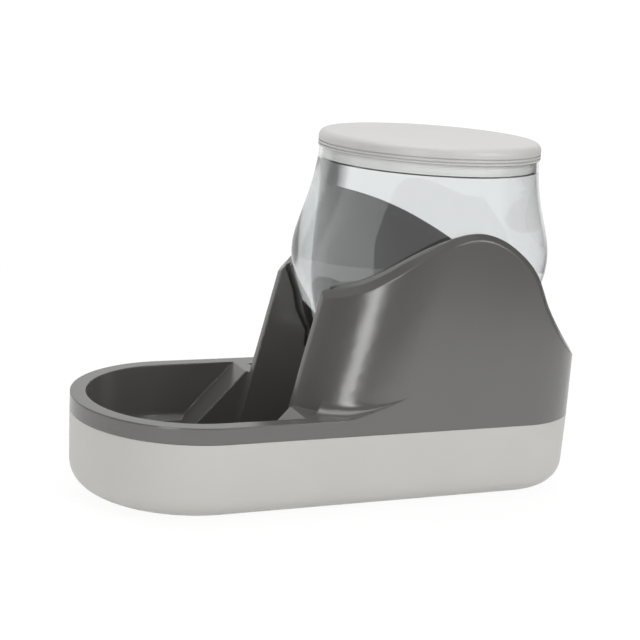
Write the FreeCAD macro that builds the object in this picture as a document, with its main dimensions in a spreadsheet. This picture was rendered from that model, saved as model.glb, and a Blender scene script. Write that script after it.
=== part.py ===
"""Pet water dispenser: a bowl with a gravity-fed tank in a tower behind it.

Frame: millimetres, +Z up, +X from the bowl towards the tower, origin at the middle of the footprint on
the surface that the feet stand on. The part is symmetric about the XZ plane.
"""
import FreeCAD, Part
import Sketcher
import math
import os

from FreeCAD import Placement, Rotation, Vector

os.makedirs("parts", exist_ok=True)
doc = FreeCAD.newDocument("pet_water_dispenser")

SIZES = {
    # base and rim
    "base_length": 370.0,
    "base_width": 170.0,
    "rear_corner_radius": 57.0,
    "split_height": 56.3,
    "rim_height": 68.0,
    "rim_width": 10.8,
    "base_draft": 1.0,
    "base_edge_radius": 18.0,
    "moulding_wall": 3.0,
    "lap_depth": 4.5,
    "lap_wall": 2.0,
    "lap_clearance": 0.3,
    "rib_wall": 2.0,
    "rib_rise": 9.0,
    # bowl, throat and well
    "floor_height": 24.0,
    "bowl_draft": 1.0,
    "bowl_floor_radius": 9.0,
    "ramp_angle": 46.0,
    "ramp_rim_x": -42.4,
    "throat_half_width": 46.0,
    "channel_half_width": 38.0,
    # tower
    "nose_radius": 76.0,
    "nose_tangent_x": 46.5,
    "nose_height": 150.0,
    "nose_slope": 0.235,
    "nose_half_width": 44.5,
    "hill_height": 196.0,
    "crest_bevel": 4.0,
    "cheek_radius": 4.5,
    "cove_radius": 9.0,
    "cove_root": 1.5,
    "ledge_start_x": -24.0,
    "ledge_rise": 17.5,
    "ledge_end_x": 46.0,
    "cradle_floor": 3.5,
    "cradle_front_x": 24.0,
    "neck_hole_radius": 30.5,
    "tank_clearance": 1.2,
    "seat_clearance": 0.3,
    "slot_depth": 5.0,
    "slot_near": 4.2,
    "slot_far": 7.7,
    # tank
    "tank_centre_x": 73.0,
    "tank_base": 93.0,
    "tank_top": 242.5,
    "tank_wall": 2.2,
    "bulge_height": 166.0,
    "bulge_half_length": 98.5,
    "bulge_half_width": 77.8,
    "mouth_radius": 80.0,
    "neck_radius": 23.0,
    "neck_drop": 26.5,
    "tank_floor_length": 66.0,
    "tank_floor_width": 54.0,
    # lid
    "lid_radius": 80.9,
    "lid_thickness": 12.0,
    "lid_edge_radius": 5.5,
    "lid_gap": 0.3,
    "plug_depth": 8.0,
    "plug_wall": 2.5,
    "plug_gap": 0.9,
    "seal_height": 3.0,
    "seal_level": 6.0,
    "seal_play": 0.25,
    "seal_depth": 1.5,
    "lid_wall": 3.0,
    "lid_relief": 2.0,
    # cap and valve
    "cap_radius": 27.8,
    "cap_height": 23.0,
    "grip_reach": 0.8,
    "grip_radius": 1.6,
    "grip_ribs": 16,
    "cap_end_wall": 3.0,
    "thread_clearance": 0.3,
    "lug_height": 2.4,
    "lug_reach": 1.6,
    "lug_level": 75.0,
    "lug_span": 20.0,
    "lug_turn": 45.0,
    "gasket_thickness": 1.5,
    "spout_radius": 11.0,
    "spout_bore": 8.5,
    "spout_length": 16.0,
    "valve_hole_radius": 7.0,
    "valve_lift": 4.0,
    "valve_disc_radius": 9.6,
    "valve_disc_thickness": 2.0,
    "valve_seal_thickness": 1.5,
    "stem_radius": 2.2,
    "stem_clearance": 0.3,
    "stem_length": 40.0,
    "cage_radius": 17.0,
    "cage_height": 20.0,
    "cage_plate": 2.0,
    "cage_leg_width": 5.0,
    "cage_leg_depth": 2.5,
    "cage_legs": 4,
    "cage_window": 4.0,
    "spring_radius": 5.5,
    "spring_wire_radius": 0.5,
    "spring_coils": 4,
    "spring_steps": 16,
    "pin_radius": 3.2,
    "pin_top": 50.0,
    # fastening and feet
    "boss_radius": 4.5,
    "boss_joint_height": 13.0,
    "screw_radius": 1.5,
    "screw_head_radius": 3.0,
    "screw_head_height": 2.2,
    "screw_length": 13.0,
    "screw_recess": 6.0,
    "screw_play": 0.3,
    "screw_grip": 0.5,
    "foot_play": 0.3,
    "foot_radius": 9.0,
    "foot_thickness": 3.0,
    "foot_stand_out": 1.5,
}

SCREW_PLACES = ((-150.0, 0.0), (-80.0, 48.0), (-80.0, -48.0), (20.0, 24.0), (20.0, -24.0), (98.0, 0.0))
FOOT_PLACES = ((-125.0, 42.0), (-125.0, -42.0), (135.0, 46.0), (135.0, -46.0))
RIB_PLACES = (-110.0, -20.0, 60.0, 130.0)

sheet = doc.addObject("Spreadsheet::Sheet", "sizes")
for row, (alias, value) in enumerate(SIZES.items(), start=1):
    sheet.set("A%d" % row, alias)
    sheet.set("B%d" % row, str(value))
    sheet.setAlias("B%d" % row, alias)
doc.recompute()


def size(alias):
    """The value of a cell of the sheet."""
    return float(sheet.get(alias))


def bind(obj, **cells):
    """Tie properties of an object to the sheet; a double underscore stands for a dot."""
    for name, expression in cells.items():
        obj.setExpression(name.replace("__", "."), expression)
    return obj


def feature(name, shape):
    """A feature whose shape is worked out here from the sheet."""
    obj = doc.addObject("Part::Feature", name)
    obj.Shape = shape
    return obj


def cylinder(name, radius, height, low, centre_x="sizes.tank_centre_x"):
    """An upright cylinder bound to the sheet."""
    obj = doc.addObject("Part::Cylinder", name)
    return bind(obj, Radius=radius, Height=height, Placement__Base__z=low, Placement__Base__x=centre_x)


def cut(name, base, tool):
    """base less tool."""
    obj = doc.addObject("Part::Cut", name)
    obj.Base = base
    obj.Tool = tool
    return obj


def fuse(name, *shapes):
    """Several solids made one."""
    obj = doc.addObject("Part::MultiFuse", name)
    obj.Shapes = list(shapes)
    obj.Refine = True
    return obj


def common(name, base, tool):
    """What two solids share."""
    obj = doc.addObject("Part::Common", name)
    obj.Base = base
    obj.Tool = tool
    return obj


def fillet(name, base, radius, wanted):
    """Round the edges of base that wanted picks; radius is a number or a function of the edge's ends."""
    doc.recompute()
    picks = []
    for number, edge in enumerate(base.Shape.Edges, start=1):
        if wanted(edge):
            picks.append((number, radius, radius))
    obj = doc.addObject("Part::Fillet", name)
    obj.Base = base
    obj.Edges = picks
    return obj


def prism(radius, height, low, x, y, sides=12):
    """An upright rod with flat sides, for small round things that repeat; the flats lie at the radius."""
    reach = radius / math.cos(math.pi / sides)
    corners = []
    for number in range(sides + 1):
        angle = 2 * math.pi * (number + 0.5) / sides
        corners.append(Vector(x + reach * math.cos(angle), y + reach * math.sin(angle), low))
    corners[-1] = corners[0]
    return Part.Face(Part.makePolygon(corners)).extrude(Vector(0, 0, height))


def at_height(height, slack=0.01):
    """Picks edges that lie flat at a height."""
    def test(edge):
        return abs(edge.BoundBox.ZMin - height) < slack and abs(edge.BoundBox.ZMax - height) < slack
    return test


# footprint


def footprint_sketch():
    """Outline of the base: a half circle at the bowl end, straight sides, two round rear corners."""
    half_l = size("base_length") / 2
    half_w = size("base_width") / 2
    corner = size("rear_corner_radius")
    up = Vector(0, 0, 1)
    bowl = Vector(half_w - half_l, 0, 0)
    near = Vector(half_l - corner, corner - half_w, 0)
    far = Vector(half_l - corner, half_w - corner, 0)
    sketch = doc.addObject("Sketcher::SketchObject", "footprint")
    arcs = ((bowl, half_w, 90, 270), None, (near, corner, -90, 0), None, (far, corner, 0, 90), None)
    lines = (None, (Vector(bowl.x, -half_w, 0), Vector(near.x, -half_w, 0)), None,
             (Vector(half_l, near.y, 0), Vector(half_l, far.y, 0)), None,
             (Vector(far.x, half_w, 0), Vector(bowl.x, half_w, 0)))
    for arc, line in zip(arcs, lines):
        if arc:
            centre, radius, start, end = arc
            circle = Part.Circle(centre, up, radius)
            sketch.addGeometry(Part.ArcOfCircle(circle, math.radians(start), math.radians(end)), False)
        else:
            sketch.addGeometry(Part.LineSegment(*line), False)
    for first in range(6):
        sketch.addConstraint(Sketcher.Constraint("Tangent", first, 2, (first + 1) % 6, 1))
    sketch.addConstraint(Sketcher.Constraint("Horizontal", 1))
    sketch.addConstraint(Sketcher.Constraint("Vertical", 3))
    sketch.addConstraint(Sketcher.Constraint("PointOnObject", 0, 3, -1))
    sketch.addConstraint(Sketcher.Constraint("Equal", 2, 4))
    named = (("width", Sketcher.Constraint("Radius", 0, half_w), "sizes.base_width / 2"),
             ("corner", Sketcher.Constraint("Radius", 2, corner), "sizes.rear_corner_radius"),
             ("bowl_end", Sketcher.Constraint("DistanceX", 0, 3, -1, 1, half_l - half_w),
              "(sizes.base_length - sizes.base_width) / 2"),
             ("rear", Sketcher.Constraint("DistanceX", -1, 1, 3, 1, half_l), "sizes.base_length / 2"))
    for name, constraint, expression in named:
        index = sketch.addConstraint(constraint)
        sketch.renameConstraint(index, name)
        sketch.setExpression("Constraints." + name, expression)
    return sketch


def inset_footprint(name, inset):
    """The footprint moved inwards by an expression."""
    offset = doc.addObject("Part::Offset2D", name)
    offset.Source = footprint
    offset.Join = 2
    return bind(offset, Value="-(%s)" % inset)


def extrusion(name, base, low, height, taper=None):
    """A flat outline at a height, extruded up by height, or down where that is negative."""
    obj = doc.addObject("Part::Extrusion", name)
    obj.Base = base
    obj.DirMode = "Custom"
    obj.Dir = Vector(0, 0, 1)
    obj.Solid = True
    bind(obj, LengthFwd=height, Placement__Base__z=low)
    if taper:
        bind(obj, TaperAngle=taper)
    return obj


footprint = footprint_sketch()
doc.recompute()


# base shell


def rounded_tray(top, low, radius, inset, steps):
    """The footprint from a height down to its floor, drafted, with a round bottom edge in a few flat bands."""
    lean = math.tan(math.radians(size("base_draft")))
    outlines = []
    for step in range(steps + 1):
        angle = math.pi / 2 * step / steps
        z = low + radius * (1 - math.cos(angle))
        outlines.append((z, inset + radius * (1 - math.sin(angle)) + lean * (size("split_height") - z)))
    outlines.append((top, inset + lean * (size("split_height") - top)))
    wires = []
    for z, offset in outlines:
        wire = footprint.Shape.Wires[0].makeOffset2D(-offset) if offset > 0.001 else footprint.Shape.Wires[0].copy()
        wire.translate(Vector(0, 0, z))
        wires.append(wire)
    return Part.makeLoft(wires, True, True)


def make_base_shell():
    """Pale lower shell: drafted walls, a large bottom edge, ribs, screw posts and recesses for the feet."""
    skin = size("moulding_wall")
    split = size("split_height")
    floor = size("foot_stand_out")
    radius = size("base_edge_radius")
    outside = rounded_tray(split, floor, radius, 0.0, 4)
    inside = rounded_tray(split + 1, floor + skin, radius - skin, skin, 3)
    wall = floor + skin
    joint = size("boss_joint_height")
    added = []
    for x in RIB_PLACES:
        rib = Part.makeBox(size("rib_wall"), size("base_width"), size("rib_rise"),
                           Vector(x - size("rib_wall") / 2, -size("base_width") / 2, wall - 0.5))
        added.append(rib.common(inside))
    for x, y in SCREW_PLACES:
        added.append(prism(size("boss_radius") + 1.5, joint - wall + 0.5, wall - 0.5, x, y))
    removed = []
    for x, y in SCREW_PLACES:
        removed.append(prism(size("screw_radius") + size("screw_play"), joint + 2, -1, x, y))
        removed.append(prism(size("screw_head_radius") + 0.5, size("screw_recess") + 1, -1, x, y))
    for x, y in FOOT_PLACES:
        removed.append(prism(size("foot_radius") + size("foot_play"), size("foot_thickness") + 1, -1, x, y, 24))
    shell = outside.cut(inside).fuse(added).cut(removed).removeSplitter()
    return feature("base_shell_solid", shell)


# housing outlines


def nose_front(z):
    """Distance along X of the front faces of the two cheeks, which lean back as they rise."""
    top = size("nose_tangent_x") - nose_reach()
    return top - (size("nose_height") - z) * size("nose_slope")


def nose_reach():
    """How far the nose of the tower stands ahead of the point where it leaves the side."""
    drop = size("base_width") / 2 - size("nose_half_width")
    angle = math.acos(1 - drop / size("nose_radius"))
    return size("nose_radius") * math.sin(angle)


def tower_outline(z, inset=0.0):
    """Closed outline of the tower at a height: nose, sides and rear corners."""
    half_w = size("base_width") / 2 - inset
    front = nose_front(z) + inset
    tangent = nose_front(z) + nose_reach()
    cheek = size("nose_half_width") - inset
    radius = size("nose_radius") - inset
    corner = size("rear_corner_radius") - inset
    rear = size("base_length") / 2 - inset
    half_turn = math.acos(1 - (half_w - cheek) / radius) / 2
    middle = Vector(tangent - radius * math.sin(half_turn), half_w - radius * (1 - math.cos(half_turn)), z)
    end = Vector(tangent - radius * math.sin(2 * half_turn), cheek, z)
    side = Vector(tangent, half_w, z)
    side_rear = Vector(rear - corner, half_w, z)
    corner_middle = Vector(rear - corner * (1 - math.sqrt(0.5)), half_w - corner * (1 - math.sqrt(0.5)), z)
    rear_side = Vector(rear, half_w - corner, z)

    def mirror(point):
        return Vector(point.x, -point.y, point.z)

    edges = [Part.LineSegment(mirror(end), end).toShape(),
             Part.Arc(end, middle, side).toShape(),
             Part.LineSegment(side, side_rear).toShape(),
             Part.Arc(side_rear, corner_middle, rear_side).toShape(),
             Part.LineSegment(rear_side, mirror(rear_side)).toShape(),
             Part.Arc(mirror(rear_side), mirror(corner_middle), mirror(side_rear)).toShape(),
             Part.LineSegment(mirror(side_rear), mirror(side)).toShape(),
             Part.Arc(mirror(side), mirror(middle), mirror(end)).toShape()]
    return Part.Wire(edges)


def tower_solid(low, high, inset=0.0):
    """The tower between two heights, its nose leaning back."""
    return Part.makeLoft([tower_outline(low, inset), tower_outline(high, inset)], True, True)


# Side view of the tower's top edge, as distances along X and heights below the crown of the hill.
HILL = ((-40.0, 55.0), (-22.0, 47.5), (-8.0, 42.0), (12.0, 29.5), (34.0, 14.0), (56.0, 3.6), (75.0, 0.0),
        (94.0, 4.2), (112.0, 15.6), (126.0, 30.5), (136.0, 50.5), (148.0, 68.0), (166.0, 85.5), (186.0, 95.0),
        (205.0, 98.0))


def hill_solid(lower=0.0):
    """Everything under the top edge of the tower, or under a line that much lower."""
    crown = size("hill_height") - lower
    width = size("base_width")
    points = [Vector(x, -width, crown - drop) for x, drop in HILL]
    curve = Part.BSplineCurve()
    curve.interpolate(points)
    floor = [Vector(points[-1].x, -width, 0), Vector(points[0].x, -width, 0)]
    edges = [curve.toShape(), Part.LineSegment(points[-1], floor[0]).toShape(),
             Part.LineSegment(floor[0], floor[1]).toShape(), Part.LineSegment(floor[1], points[0]).toShape()]
    return Part.Face(Part.Wire(edges)).extrude(Vector(0, 2 * width, 0))


# The tank's outside: height, half length along X and half width along Y, between its floor and its mouth.
TANK_SECTIONS = ((101.0, 77.5, 65.3), (117.0, 84.8, 72.0), (131.0, 87.4, 74.6), (149.0, 95.0, 76.9),
                 (166.0, 98.5, 77.8), (190.0, 93.4, 78.6), (216.0, 84.0, 79.6), (242.5, 80.0, 80.0))


def ellipse_wire(z, half_length, half_width):
    """A level ellipse about the tank's axis."""
    centre = Vector(size("tank_centre_x"), 0, z)
    if half_length > half_width + 0.001:
        curve = Part.Ellipse(centre, half_length, half_width)
    else:
        curve = Part.Circle(centre, Vector(0, 0, 1), half_length)
    return Part.Wire([curve.toShape()])


def ellipse_loft(sections):
    """A solid through level ellipses."""
    return Part.makeLoft([ellipse_wire(*section) for section in sections], True, True)


def tank_cavity(gap, low, high):
    """Space for the tank and its path upwards: its outside grown by a gap, upright above the bulge."""
    sections = [(low, TANK_SECTIONS[0][1] + gap, TANK_SECTIONS[0][2] + gap)]
    for z, half_length, half_width in TANK_SECTIONS:
        if low < z < size("bulge_height"):
            sections.append((z, half_length + gap, half_width + gap))
    lower = ellipse_loft(sections + [(size("bulge_height"), size("bulge_half_length") + gap,
                                      size("bulge_half_width") + gap)])
    upper = Part.makeLoft([ellipse_wire(size("bulge_height"), size("bulge_half_length") + gap,
                                        size("bulge_half_width") + gap),
                           ellipse_wire(high, size("bulge_half_length") + gap, size("mouth_radius") + gap)],
                          True, True)
    return lower.fuse(upper)



# upper housing


def side_block(points, half_width):
    """A solid between two planes either side of the middle, from its outline in side view."""
    corners = [Vector(x, -half_width, z) for x, z in points]
    return Part.Face(Part.makePolygon(corners + corners[:1])).extrude(Vector(0, 2 * half_width, 0))


def ramp_x(z):
    """Where the sloping end of the bowl lies at a height."""
    return size("ramp_rim_x") + (z - size("rim_height")) / math.tan(math.radians(size("ramp_angle")))


def bowl_outline(z, inset):
    """The bowl's outline at a height: a half circle with straight sides running on past the ramp."""
    radius = size("base_width") / 2 - inset
    centre = (size("base_width") - size("base_length")) / 2
    arc = Part.Arc(Vector(centre, radius, z), Vector(centre - radius, 0, z), Vector(centre, -radius, z))
    return Part.Wire([arc.toShape(),
                      Part.LineSegment(Vector(centre, -radius, z), Vector(0, -radius, z)).toShape(),
                      Part.LineSegment(Vector(0, -radius, z), Vector(0, radius, z)).toShape(),
                      Part.LineSegment(Vector(0, radius, z), Vector(centre, radius, z)).toShape()])


def bowl_space(grow=0.0):
    """The hollow of the bowl as far as its sloping end, with all its sides grown by a wall."""
    low = size("floor_height") - grow
    high = size("rim_height") + 12
    radius = size("bowl_floor_radius") + grow
    lean = math.tan(math.radians(size("bowl_draft")))
    outlines = []
    for step in range(4):
        angle = math.pi / 2 * step / 3
        z = low + radius * (1 - math.cos(angle))
        inset = size("rim_width") - grow + lean * (size("rim_height") - z) + radius * (1 - math.sin(angle))
        outlines.append(bowl_outline(z, inset))
    outlines.append(bowl_outline(high, size("rim_width") - grow + lean * (size("rim_height") - high)))
    space = Part.makeLoft(outlines, True, True)
    behind = side_block([(ramp_x(low - 9) + grow, low - 9), (ramp_x(high + 9) + grow, high + 9), (90, high + 9),
                         (90, low - 9)], size("base_width"))
    return space.cut(behind)


def throat_space(grow=0.0):
    """The passage between the ramps, up to the front faces of the cheeks."""
    low = size("floor_height") - grow
    high = size("rim_height") + 30
    return side_block([(ramp_x(low) - 20, low), (nose_front(low) + grow, low), (nose_front(high) + grow, high),
                  (ramp_x(low) - 20, high)], size("throat_half_width") + grow)


def channel_space(grow=0.0):
    """The channel from the throat to the well under the tank, and the opening between the cheeks."""
    low = size("floor_height") - grow
    width = size("channel_half_width") + grow
    ceiling = size("tank_base") - size("seat_clearance") - size("cradle_floor")
    centre = size("tank_centre_x")
    start = ramp_x(low) - 15
    passage = Part.makeBox(centre - start, 2 * width, ceiling - low, Vector(start, -width, low))
    well = Part.makeCylinder(width, ceiling - low, Vector(centre, 0, low))
    opening = Part.makeBox(size("cradle_front_x") - start, 2 * width, 200, Vector(start, -width, low))
    shapes = [well, opening]
    if not grow:
        shapes.append(Part.makeCylinder(size("neck_hole_radius"), size("cradle_floor") + 12,
                                        Vector(centre, 0, ceiling - 5)))
    return passage.fuse(shapes)


def ledge_solid(inset=0.0, lower=0.0):
    """The shelf on each side between the rim and the tower, ended by the ramp at the bowl."""
    low = size("split_height") + size("rib_wall")
    width = size("base_width")
    start = size("ledge_start_x")
    length = size("ledge_end_x") - start
    rim = size("rim_height") - lower
    points = [Vector(start + along * length, -width, rim + up * size("ledge_rise")) for along, up in LEDGE]
    curve = Part.BSplineCurve()
    curve.interpolate(Points=points, InitialTangent=Vector(1, 0, 0), FinalTangent=Vector(1, 0, 0.12))
    end = Vector(points[-1].x + 30, -width, points[-1].z)
    outline = [Vector(end.x, -width, low), Vector(ramp_x(low) + inset, -width, low),
               Vector(ramp_x(rim) + inset, -width, rim), points[0]]
    edges = [Part.LineSegment(a, b).toShape() for a, b in zip(outline, outline[1:])]
    edges += [curve.toShape(), Part.LineSegment(points[-1], end).toShape(),
              Part.LineSegment(end, outline[0]).toShape()]
    return Part.Face(Part.Wire(edges)).extrude(Vector(0, 2 * width, 0))


# Side view of the ledge, as shares of its length and of its rise.
LEDGE = ((0.0, 0.0), (0.2, 0.07), (0.4, 0.30), (0.7, 0.72), (1.0, 1.0))


def ledge_level(x):
    """Height of the ledge at a distance along X, between the points of its side view."""
    along = (x - size("ledge_start_x")) / (size("ledge_end_x") - size("ledge_start_x"))
    rim = size("rim_height")
    if along <= 0:
        return rim
    for (a, low), (b, high) in zip(LEDGE, LEDGE[1:]):
        if along <= b:
            return rim + size("ledge_rise") * (low + (high - low) * (along - a) / (b - a))
    return rim + size("ledge_rise")


def cove_section(angle, side):
    """Outline of the hollow moulding between ledge and cheek, where the nose has turned by an angle."""
    nose = size("nose_radius")
    turn = math.radians(angle)
    room = nose * (1 - math.cos(turn)) / math.cos(turn)
    radius = min(size("cove_radius"), 0.96 * room)
    level = size("rim_height")
    for _ in range(12):
        x = nose_front(level) + nose_reach() - nose * math.sin(turn)
        level = ledge_level(x)
    crease = Vector(x, -(size("base_width") / 2 - nose * (1 - math.cos(turn))), level)
    out = Vector(-math.sin(turn), -math.cos(turn), 0)
    rise = Vector(size("nose_slope"), 0, 1)
    sunk = Vector(0, 0, -size("cove_root"))
    points = [crease - out * size("cove_root") + sunk, crease - out * size("cove_root") + rise * radius]
    for step in range(5):
        bend = math.pi / 2 * step / 4
        points.append(crease + rise * radius * (1 - math.sin(bend)) + out * radius * (1 - math.cos(bend)))
    points.append(crease + out * radius + sunk)
    points = [Vector(point.x, point.y * side, point.z) for point in points]
    return Part.makePolygon(points + points[:1])


def cove(side):
    """The hollow moulding along one cheek, from the flush end of the ledge to the throat."""
    angles = (5, 10, 15, 20, 26, 34, 42, 50, 57, 63)
    return Part.makeLoft([cove_section(angle, side) for angle in angles], True, True)


def slot_region(near, far, reach):
    """The band in front of the seat of the tank between two distances from the tank."""
    low = size("tank_base") - size("cradle_floor") - 2
    outer = tank_cavity(far, low, 200.0)
    if near:
        outer = outer.cut(tank_cavity(near, low - 1, 201.0))
    return outer.common(Part.makeBox(100, 2 * reach, 200, Vector(size("cradle_front_x") - 100, -reach, low + 0.5)))


def across(edge):
    """Whether an edge runs over the top of the tower from side to side, apart from the one at the rear."""
    box = edge.BoundBox
    return box.YMin < -40 and box.YMax > 40 and box.XMax < size("base_length") / 2 - 5


def crested_tower():
    """The tower with the bevel along its top edge and the rounded outer corners of its cheeks."""
    tower = tower_solid(size("split_height"), size("hill_height") + 10).common(hill_solid())
    crest = []
    for edge in tower.Edges:
        box = edge.BoundBox
        level = box.ZMin > 90 and box.ZLength < 70 and max(box.XLength, box.YLength) > 5
        if level and not across(edge):
            crest.append(edge)
    tower = tower.makeChamfer(size("crest_bevel"), crest)
    corners = []
    for edge in tower.Edges:
        box = edge.BoundBox
        beside = abs(abs(box.Center.y) - size("nose_half_width")) < 1.5
        if beside and box.YLength < 1.5 and box.ZLength > 50:
            corners.append(edge)
    return tower.makeFillet(size("cheek_radius"), corners)


def make_upper_housing():
    """Dark one-piece moulding: rim, bowl, throat and well, cheeks, tower and the seat of the tank."""
    wall = size("moulding_wall")
    split = size("split_height")
    rim = size("rim_height")
    skirt = extrusion("housing_skirt", footprint, "sizes.split_height", "sizes.rim_height - sizes.split_height")
    upright = extrusion("housing_upright", footprint, "sizes.split_height",
                        "sizes.rim_height - sizes.split_height + sizes.ledge_rise + 1")
    tongue_outline = inset_footprint("tongue_outline", "sizes.moulding_wall + sizes.lap_clearance + 0.1")
    inner_outline = inset_footprint("tongue_inner_outline",
                                    "sizes.moulding_wall + sizes.lap_clearance + sizes.lap_wall")
    wall_outline = inset_footprint("housing_wall_outline", "sizes.moulding_wall")
    tongue = extrusion("housing_tongue", tongue_outline, "sizes.split_height - sizes.lap_depth",
                       "sizes.lap_depth + 1")
    lower_hollow = extrusion("housing_lower_hollow", inner_outline, "sizes.split_height - sizes.lap_depth - 1",
                             "sizes.lap_depth + 1 + 3.5")
    rim_hollow = extrusion("housing_rim_hollow", wall_outline, "sizes.split_height + 3",
                           "sizes.rim_height - sizes.split_height - 3 - sizes.moulding_wall")
    shelf_hollow = extrusion("housing_shelf_hollow", wall_outline, "sizes.split_height + 3",
                             "sizes.rim_height - sizes.split_height + sizes.ledge_rise")
    below = extrusion("housing_below", inner_outline, "sizes.floor_height - sizes.moulding_wall - 1",
                      "sizes.split_height - sizes.floor_height + sizes.moulding_wall + 2")
    doc.recompute()

    shelf = ledge_solid().common(upright.Shape)
    tower = crested_tower()
    outside = skirt.Shape.fuse([shelf, tower, cove(1), cove(-1)]).removeSplitter()
    outside = outside.fuse(tongue.Shape)

    clearance = size("tank_clearance")
    seat = size("tank_base") - size("seat_clearance")
    spaces = [bowl_space(), throat_space(), channel_space(), tank_cavity(clearance, seat, 230.0),
              slot_region(size("slot_near"), size("slot_far"), size("channel_half_width") + size("slot_depth"))]
    walls = [bowl_space(wall), throat_space(wall), channel_space(wall),
             tank_cavity(clearance + size("cradle_floor"), seat - size("cradle_floor"), 230.0),
             slot_region(0, size("slot_far") + wall, size("channel_half_width") + size("slot_depth") + wall)]
    tubs = walls[0].fuse(walls[1:])
    tower_hollow = tower_solid(split - size("lap_depth"), size("hill_height") + 10, wall).common(hill_solid(wall))
    ledge_hollow = ledge_solid(wall * 1.4, wall).common(shelf_hollow.Shape)
    hollow = rim_hollow.Shape.fuse([tower_hollow.cut(Part.makeBox(400, 200, split + 3, Vector(-200, -100, 0))),
                                    ledge_hollow, lower_hollow.Shape])
    hollow = hollow.cut(tubs)
    body = outside.cut(hollow)
    added = [tubs.common(below.Shape)]
    joint = size("boss_joint_height")
    for x, y in SCREW_PLACES:
        added.append(prism(size("boss_radius"), 25, joint, x, y))
    body = body.fuse(added)
    body = body.cut(spaces)
    pin = Part.makeCylinder(size("pin_radius"), size("pin_top") - size("floor_height") + 1,
                            Vector(size("tank_centre_x"), 0, size("floor_height") - 1))
    holes = []
    for x, y in SCREW_PLACES:
        holes.append(prism(size("screw_radius"), size("screw_length"), size("screw_recess") + size("screw_grip"),
                           x, y))
    body = body.fuse(pin)
    body = body.cut(holes)
    return feature("housing_solid", body)


# tank


def make_tank():
    """Clear tank: an oval body that becomes round at the mouth, open at the top, with a neck below."""
    wall = size("tank_wall")
    base = size("tank_base")
    top = size("tank_top")
    centre = size("tank_centre_x")
    outer = [(base, size("tank_floor_length"), size("tank_floor_width"))] + list(TANK_SECTIONS)
    inner = [(base + wall, size("tank_floor_length") - wall, size("tank_floor_width") - wall)]
    inner += [(z, half_length - wall, half_width - wall) for z, half_length, half_width in TANK_SECTIONS[:-1]]
    inner += [(top + 1, size("mouth_radius") - wall, size("mouth_radius") - wall)]
    outside = ellipse_loft(outer)
    inside = ellipse_loft(inner)
    neck_low = base - size("neck_drop")
    neck = Part.makeCylinder(size("neck_radius"), size("neck_drop") + 1, Vector(centre, 0, neck_low))
    bore = Part.makeCylinder(size("neck_radius") - wall, size("neck_drop") + 5, Vector(centre, 0, neck_low - 1))
    lugs = [lug(start, 0.0, 0.0) for start in (0.0, 120.0, 240.0)]
    body = outside.fuse([neck] + lugs).cut([inside, bore])
    return feature("tank_solid", body)


def sector(radius, height, low, start, span):
    """A slice of a disc about the tank's axis, from an angle over a span."""
    disc = Part.makeCylinder(radius, height, Vector(0, 0, 0), Vector(0, 0, 1), span)
    disc.rotate(Vector(0, 0, 0), Vector(0, 0, 1), start)
    disc.translate(Vector(size("tank_centre_x"), 0, low))
    return disc


def lug(start, play, turn_play):
    """One bayonet lug of the neck, grown by a play."""
    low = size("lug_level") - play
    outer = sector(size("neck_radius") + size("lug_reach") + play, size("lug_height") + 2 * play, low,
                   start - turn_play, size("lug_span") + 2 * turn_play)
    core = Part.makeCylinder(size("neck_radius") - 1, 60, Vector(size("tank_centre_x"), 0, size("lug_level") - 20))
    return outer.cut(core)


def make_cap():
    """Cap with a ribbed skirt, bayonet tracks for the lugs of the neck, a spout and the valve's hole."""
    centre = size("tank_centre_x")
    play = size("thread_clearance")
    end_low = size("tank_base") - size("neck_drop") - size("gasket_thickness") - size("cap_end_wall")
    skirt = Part.makeCylinder(size("cap_radius") - size("grip_reach"), size("cap_height"),
                              Vector(centre, 0, end_low))
    added = []
    for number in range(int(size("grip_ribs"))):
        angle = 2 * math.pi * number / size("grip_ribs")
        middle = size("cap_radius") - size("grip_radius")
        added.append(prism(size("grip_radius"), size("cap_height") - 4, end_low + 2,
                           centre + middle * math.cos(angle), middle * math.sin(angle), 6))
    spout_low = end_low - size("spout_length")
    added.append(Part.makeCylinder(size("spout_radius"), size("spout_length") + 1, Vector(centre, 0, spout_low)))
    inside = Part.makeCylinder(size("neck_radius") + play, size("cap_height"),
                               Vector(centre, 0, end_low + size("cap_end_wall")))
    bore = Part.makeCylinder(size("spout_bore"), size("spout_length"), Vector(centre, 0, spout_low))
    hole = Part.makeCylinder(size("valve_hole_radius"), 30, Vector(centre, 0, end_low - 1))
    removed = [inside, bore, hole]
    turn = size("lug_turn")
    span = size("lug_span")
    reach = size("neck_radius") + size("lug_reach") + play
    for start in (0.0, 120.0, 240.0):
        track = sector(reach, size("lug_height") + 2 * play, size("lug_level") - play, start - turn - 1,
                       turn + span + 2)
        entry = sector(reach, 20, size("lug_level") - play, start - turn - 1, span + 2)
        removed += [track, entry]
    body = skirt.fuse(added).cut(removed)
    return feature("tank_cap_solid", body)


def ring(name, outer, inner, height, low):
    """A flat ring about the tank's axis."""
    disc = cylinder(name + "_disc", outer, height, low)
    hole = cylinder(name + "_hole", inner, height + " + 2", low + " - 1")
    return cut(name + "_ring", disc, hole)


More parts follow.
